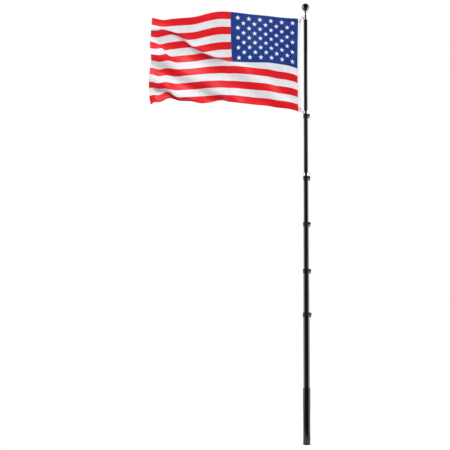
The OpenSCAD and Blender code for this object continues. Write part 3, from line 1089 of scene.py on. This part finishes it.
def two_skins(name, u, v, lifts, materials, dye_of=None):
    """A closed piece of cloth on the grid of distances u and v. The lifts give how far its front and
    back skins lie from the cloth's middle. The dye function gives the material of each grid cell."""
    cloth = waved_cloth()
    uu, vv = np.meshgrid(u, v)
    rows, columns = uu.shape
    count = rows * columns
    middle, normal = cloth.place(uu, vv), cloth.normal(uu, vv)
    points = np.concatenate([(middle + normal * lift).reshape(-1, 3) for lift in lifts])
    faces, cells = [], []
    for a in (j * columns + i for j in range(rows - 1) for i in range(columns - 1)):
        face = (a, a + 1, a + 1 + columns, a + columns)
        faces += [face, tuple(count + k for k in reversed(face))]
        cells += [a, a]
    rim = list(range(columns)) + [j * columns + columns - 1 for j in range(1, rows)]
    rim += [(rows - 1) * columns + i for i in range(columns - 2, -1, -1)]
    rim += [j * columns for j in range(rows - 2, 0, -1)]
    for a, b in zip(rim, rim[1:] + rim[:1]):
        faces.append((b, a, count + a, count + b))
        cells.append(min(a, b))
    dyes = None
    if dye_of:
        dyes = [dye_of(min(a // columns, rows - 2), min(a % columns, columns - 2)) for a in cells]
    piece = new_piece(name, points, faces, materials, face_materials=dyes)
    places = np.stack([uu, vv], axis=-1).reshape(-1, 2)
    set_cloth_coordinates(piece.data, np.concatenate([places, places]))
    fix_normals(piece)
    return piece


def seamed_spacing(count, pitch, seam, fill):
    """Distances across strips of one pitch, with extra lines at both sides of each seam."""
    found = []
    for k in range(count):
        start = k * pitch
        inner = np.linspace(seam / 2, pitch - seam / 2, fill)
        found += [start] + [start + d for d in inner]
    return np.array(found + [count * pitch])


def flag_lines(settings, pitch):
    """The flag's grid: distances u along it and v down it, with lines at its seams and its hem."""
    beyond_seam = settings.canton_length + settings.seam_width / 2
    hem = settings.fly - FLY_HEM
    u = np.concatenate([
        np.linspace(0, settings.canton_length - settings.seam_width / 2, 86),
        [settings.canton_length],
        np.linspace(beyond_seam, hem, 104),
        np.linspace(hem, settings.fly, 5)[1:],
    ])
    return u, seamed_spacing(settings.stripes, pitch, settings.seam_width, 7)


class FLAGPOLE_OT_flag(bpy.types.Operator):
    """Sew the striped cloth with its canton, seams and hems"""

    bl_idname = "flagpole.flag"
    bl_label = "Flag"

    def execute(self, context):
        settings = flag_settings()
        pitch = settings.hoist / settings.stripes
        canton = settings.canton_length
        u, v = flag_lines(settings, pitch)

        def dye_of(j, i):
            stripe = int((v[j] + v[j + 1]) / 2 / pitch)
            starred = stripe < CANTON_STRIPES and u[i + 1] <= canton + TOUCH
            return 2 if starred else stripe % 2

        half = self.half_thickness(settings, pitch, *np.meshgrid(u, v))[..., None]
        red, white, blue = tuple(settings.red), tuple(settings.white), tuple(settings.blue)
        materials = [
            finish("nylon_red", nylon_look, red, scaled(red, 0.9)),
            finish("nylon_white", nylon_look, white, (0.86, 0.87, 0.90)),
            finish("nylon_blue", nylon_look, blue, scaled(blue, 1.2)),
        ]
        piece = two_skins("waved_flag", u, v, (-half, half), materials, dye_of)
        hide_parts("flag")
        hang(piece)
        return {"FINISHED"}

    def half_thickness(self, settings, pitch, uu, vv):
        """Half the cloth's thickness at each place: more on the lapped seams, and more on the hem."""
        reach = settings.seam_width * 0.51
        foot = CANTON_STRIPES * pitch
        nearest = np.abs(vv - np.round(vv / pitch) * pitch)
        in_canton = (uu < settings.canton_length) & (vv < foot - TOUCH)
        on_seam = (nearest < reach) & ~(in_canton & (vv > reach))
        on_seam |= (np.abs(uu - settings.canton_length) < reach) & (vv < foot + settings.seam_width)
        half = settings.cloth_thickness / 2 * np.where(on_seam, SEAM_THICKNESS, 1.0)
        return np.where(uu > settings.fly - FLY_HEM, settings.cloth_thickness, half)


def hang(piece):
    """The cloth turns with the upper ring."""
    top = node_centre("grommet_top")
    bottom = node_centre("grommet_bottom")
    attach(piece, "flag_swivel")
    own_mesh(piece)


def star_outline(radius, steps):
    """Points of an upright five-pointed star, with each edge cut into short steps."""
    inner = radius * math.sin(math.radians(18)) / math.sin(math.radians(126))
    corners = []
    for k in range(10):
        turn = math.radians(90 + 36 * k)
        r = radius if k % 2 == 0 else inner
        corners.append(np.array((r * math.cos(turn), r * math.sin(turn))))
    sides = zip(corners, corners[1:] + corners[:1])
    return np.array([a + (b - a) * (s / steps) for a, b in sides for s in range(steps)])


def star_centres():
    """Nine rows that hold six and five stars by turns. The edge towards the fly is wider."""
    settings = flag_settings()
    step_u = settings.canton_length / 12.3
    step_v = settings.hoist / settings.stripes * CANTON_STRIPES / 10
    rows = ((row + 1, range(1 + row % 2, 12, 2)) for row in range(9))
    return [(column * step_u, row * step_v) for row, columns in rows for column in columns]


class FLAGPOLE_OT_stars(bpy.types.Operator):
    """Embroider the stars on both faces of the canton, and sew on the blank label"""

    bl_idname = "flagpole.stars"
    bl_label = "Stars and Label"

    def execute(self, context):
        self.embroidery()
        self.label()
        return {"FINISHED"}

    def label(self):
        """A blank tape label, sewn on beside the heading, with a sunk line of stitching round it."""
        skin = flag_settings().cloth_thickness / 2
        # 25 mm by 30 mm, above the lower corner
        u = np.linspace(0.001, 0.026, 16)
        v = np.linspace(0.736, 0.766, 18)
        uu, vv = np.meshgrid(u, v)
        edge = np.minimum(np.minimum(uu - u[0], u[-1] - uu), np.minimum(vv - v[0], v[-1] - vv))
        stitch = 0.0002 * hump(edge, 0.0025, 0.0006)
        rise = 0.0004 + 0.0006 * ramp(edge, 0.0, 0.0012) - stitch
        lifts = (-(skin + rise)[..., None], -(skin - 0.0001))
        tape = finish("label_tape", white_thread_look)
        piece = two_skins("blank_label", u, v, lifts, [tape])
        hang(piece)

    def embroidery(self):
        """Fifty stars on each face. Each is rings of points, from its edge in the cloth to its middle."""
        settings = flag_settings()
        cloth = waved_cloth()
        outline = star_outline(settings.star_size / 2, 4)
        count = len(outline)
        rings = ((1.0, -0.0002), (0.88, 0.0009), (0.6, 0.0012), (0.3, 0.0012), (0.0, 0.0012))
        points, faces, places = [], [], []
        for cu, cv in star_centres():
            for side in (-1, 1):
                base = len(points)
                for ring, height in rings:
                    spots = outline if ring else outline[:1]
                    u, v = cu - spots[:, 0] * ring, cv - spots[:, 1] * ring
                    rise = side * (settings.cloth_thickness / 2 + height)
                    points += list(cloth.place(u, v) + cloth.normal(u, v) * rise)
                    places += list(zip(u, v))
                for r in range(len(rings) - 1):
                    a, b = base + r * count, base + (r + 1) * count
                    for k in range(count):
                        ahead = (k + 1) % count
                        inner = (b,) if r == len(rings) - 2 else (b + ahead, b + k)
                        face = (a + k, a + ahead, *inner)
                        faces.append(face if side > 0 else face[::-1])
        thread = finish("star_embroidery", white_thread_look)
        piece = new_piece("embroidered_stars", points, faces, [thread])
        set_cloth_coordinates(piece.data, np.array(places))
        hang(piece)


class FLAGPOLE_OT_heading(bpy.types.Operator):
    """Fold the canvas heading, with a hole for each grommet"""

    bl_idname = "flagpole.heading"
    bl_label = "Heading"

    def execute(self, context):
        low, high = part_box("flag_heading")
        holes = [(h.x, h.z, HEADING_HOLE) for h in map(node_centre, ("grommet_top", "grommet_bottom"))]
        width, height = high.x - low.x, high.z - low.z
        rows, columns = 120, 6

        def spot(i, j):
            return Vector((low.x + width * i / columns, low.z + height * j / rows))

        ring = [spot(0, j) for j in range(rows)] + [spot(i, rows) for i in range(columns)]
        ring += [spot(columns, j) for j in range(rows, 0, -1)] + [spot(i, 0) for i in range(columns, 0, -1)]
        inner = [
            spot(i, j) for j in range(1, rows) for i in range(1, columns)
            if all((spot(i, j) - Vector((x, z))).length > radius * 1.35 for x, z, radius in holes)
        ]
        half = (high.y - low.y) / 2
        edge_drop = 0.0016
        pucker_depth = 0.00012
        pucker_pitch = 0.011

        def half_thickness(p):
            """Thinner at the folded edges, and puckered along the stitching."""
            edge = min(p.x - low.x, high.x - p.x)
            folded = 1.0 if edge > edge_drop else 0.55 + 0.45 * edge / edge_drop
            pucker = pucker_depth * math.sin(p.y * 2 * math.pi / pucker_pitch)
            return half * folded + (pucker if 0.002 < edge < 0.008 else 0.0)

        points, solid, flat = cut_plate(ring, holes, inner, half_thickness)
        for i, (x, y, z) in enumerate(points):
            share = (x - low.x) / width
            bow = (SEAM_BOW * (1 - share) + EDGE_BOW * share) * hoist_bow(high.z - z, height)
            points[i] = (x - bow, y, z)
        piece = new_piece("canvas_heading", points, solid, [finish("heading_canvas", canvas_look)])
        places = np.array([(p.x - low.x, high.z - p.y) for p in flat])
        set_cloth_coordinates(piece.data, np.concatenate([places, places]))
        fix_normals(piece)
        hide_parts("flag_heading")
        hang(piece)
        return {"FINISHED"}


# --- Stage ---


FLOOR_RADIUS = 1.3
# (name, x, y, z, width, height, watts). Each strip faces the pole's axis at its own height
STRIPS = (
    ("left_strip", -4.6, -0.9, 3.6, 3.6, 8.0, 126.0),
    ("right_strip", 4.2, -0.7, 1.7, 2.8, 5.6, 128.0),
)


def any_ray(made, rays):
    """1 for a ray of any of these kinds, and 0 for every other."""
    seen = made.node("ShaderNodeLightPath").outputs
    found = seen[rays[0]]
    for ray in rays[1:]:
        found = made.math("MAXIMUM", found, seen[ray])
    return found


def pale_floor_material():
    """A plain white floor that keeps the object's shadow."""
    material = bpy.data.materials.new("pale_floor")
    made = emptied(material)
    straight = any_ray(made, ("Is Camera Ray", "Is Transmission Ray", "Is Glossy Ray"))
    diffuse = made.fill(made.node("ShaderNodeBsdfDiffuse"), {"Color": (0.62, 0.62, 0.62)})
    glow = made.fill(made.node("ShaderNodeEmission"), {"Strength": made.times(straight, 0.50)})
    both = made.fill(made.node("ShaderNodeAddShader"), {0: diffuse.outputs[0], 1: glow.outputs[0]})
    made.fill(made.node("ShaderNodeOutputMaterial"), {"Surface": both.outputs[0]})
    return material


class FLAGPOLE_OT_stage(bpy.types.Operator):
    """Set the floor, the lights, the white surroundings and the camera"""

    bl_idname = "flagpole.stage"
    bl_label = "Stage"

    def execute(self, context):
        scene = context.scene
        scene.view_settings.view_transform = "Standard"
        self.floor()
        self.surroundings(scene)
        self.lights(scene)
        self.camera(scene)
        return {"FINISHED"}

    def floor(self):
        points, faces = lathe([(FLOOR_RADIUS, -0.02), (FLOOR_RADIUS, 0.0)], steps=96)
        disc = new_piece("floor", points, faces, [pale_floor_material()], smooth=False)
        # Set back, so that the sleeve mirrors little of it
        disc.location = (-0.3, 0.85, 0.0)

    def surroundings(self, scene):
        """White to the camera. Reflections see it white behind and beside the object, and dim in
        front, overhead and underfoot, as in a room with the light round a dark camera."""
        world = bpy.data.worlds.new("studio")
        scene.world = world
        made = emptied(world)
        way = made.apart(made.node("ShaderNodeTexCoord").outputs["Generated"])
        behind = made.remap(way[1], -0.55, 0.25, 0.0, 1.0)
        level = made.remap(made.math("ABSOLUTE", way[2]), 0.35, 0.75, 1.0, 0.1)
        glossy = made.remap(made.times(behind, level), 0.0, 1.0, 0.02, 1.0)
        soft = studio_settings().ambient
        in_gloss = any_ray(made, ("Is Glossy Ray",))
        rest = made.plus(made.times(in_gloss, made.math("SUBTRACT", glossy, soft)), soft)
        straight = any_ray(made, ("Is Camera Ray", "Is Transmission Ray"))
        up_to_white = made.times(straight, made.math("SUBTRACT", 1.0, rest))
        background = made.node("ShaderNodeBackground")
        made.fill(background, {"Color": (1.0, 1.0, 1.0), "Strength": made.plus(rest, up_to_white)})
        made.fill(made.node("ShaderNodeOutputWorld"), {"Surface": background.outputs[0]})

    def lights(self, scene):
        def aim(lamp, at, towards):
            lamp.location = at
            lamp.rotation_euler = (Vector(towards) - Vector(at)).to_track_quat("-Z", "Y").to_euler()
            scene.collection.objects.link(lamp)

        sun = bpy.data.lights.new("key", "SUN")
        sun.energy = studio_settings().key
        sun.angle = math.radians(32)
        key = bpy.data.objects.new("key", sun)
        # High up in front, and a little to the right
        aim(key, (1.4, -6.2, 10.2), (-0.6, 0.0, 3.0))
        self.keep_off(key, ("ball_finial", "finial_stem"))
        for name, x, y, z, width, height, watts in STRIPS:
            strip = bpy.data.lights.new(name, "AREA")
            strip.shape = "RECTANGLE"
            strip.size = width
            strip.size_y = height
            strip.energy = watts
            lamp = bpy.data.objects.new(name, strip)
            lamp.visible_camera = False
            aim(lamp, (x, y, z), (0, 0, z))

    def keep_off(self, lamp, names):
        """Leave the named pieces out of a lamp's light, so that polish shows no spot of it."""
        shaded = bpy.data.collections.new(lamp.name + "_shaded")
        for name in names:
            shaded.objects.link(bpy.data.objects[name])
        for item in shaded.collection_objects:
            item.light_linking.link_state = "EXCLUDE"
        lamp.light_linking.receiver_collection = shaded

    def camera(self, scene):
        settings = studio_settings()
        data = bpy.data.cameras.new("camera")
        data.sensor_width = 36.0
        data.lens = data.sensor_width * settings.distance / settings.view_height
        data.clip_end = 100.0
        camera = bpy.data.objects.new("camera", data)
        camera.location = (settings.aside, -settings.distance, settings.eye_height)
        look = Matrix.Rotation(math.radians(90), 4, "X")
        camera.rotation_euler = (look @ Matrix.Rotation(settings.roll, 4, "Z")).to_euler()
        scene.collection.objects.link(camera)
        scene.camera = camera


# --- Panel and registration ---

OPERATORS = (
    FLAGPOLE_OT_stage,
    FLAGPOLE_OT_pole,
    FLAGPOLE_OT_clamps,
    FLAGPOLE_OT_finial,
    FLAGPOLE_OT_fittings,
    FLAGPOLE_OT_heading,
    FLAGPOLE_OT_flag,
    FLAGPOLE_OT_stars,
)


class FLAGPOLE_PT_panel(bpy.types.Panel):
    """Lists the flagpole's pieces and settings"""

    bl_idname = "FLAGPOLE_PT_panel"
    bl_label = "Flagpole"
    bl_space_type = "VIEW_3D"
    bl_region_type = "UI"
    bl_category = "Flagpole"

    def draw(self, context):
        for operator in OPERATORS:
            self.layout.operator(operator.bl_idname)
        for settings in (flag_settings(), pole_settings(), studio_settings()):
            box = self.layout.box()
            for name in settings.bl_rna.properties.keys():
                if name not in ("rna_type", "name"):
                    box.prop(settings, name)


SETTINGS = (
    ("flagpole_flag", FlagSettings),
    ("flagpole_pole", PoleSettings),
    ("flagpole_studio", StudioSettings),
)


def register():
    for name, group in SETTINGS:
        bpy.utils.register_class(group)
        setattr(bpy.types.Scene, name, PointerProperty(type=group))
    for operator in OPERATORS:
        bpy.utils.register_class(operator)
    bpy.utils.register_class(FLAGPOLE_PT_panel)


def unregister():
    bpy.utils.unregister_class(FLAGPOLE_PT_panel)
    for operator in reversed(OPERATORS):
        bpy.utils.unregister_class(operator)
    for name, group in reversed(SETTINGS):
        delattr(bpy.types.Scene, name)
        bpy.utils.unregister_class(group)


def main():
    register()
    for operator in OPERATORS:
        module, name = operator.bl_idname.split(".")
        getattr(getattr(bpy.ops, module), name)()


if __name__ == "__main__":
    main()
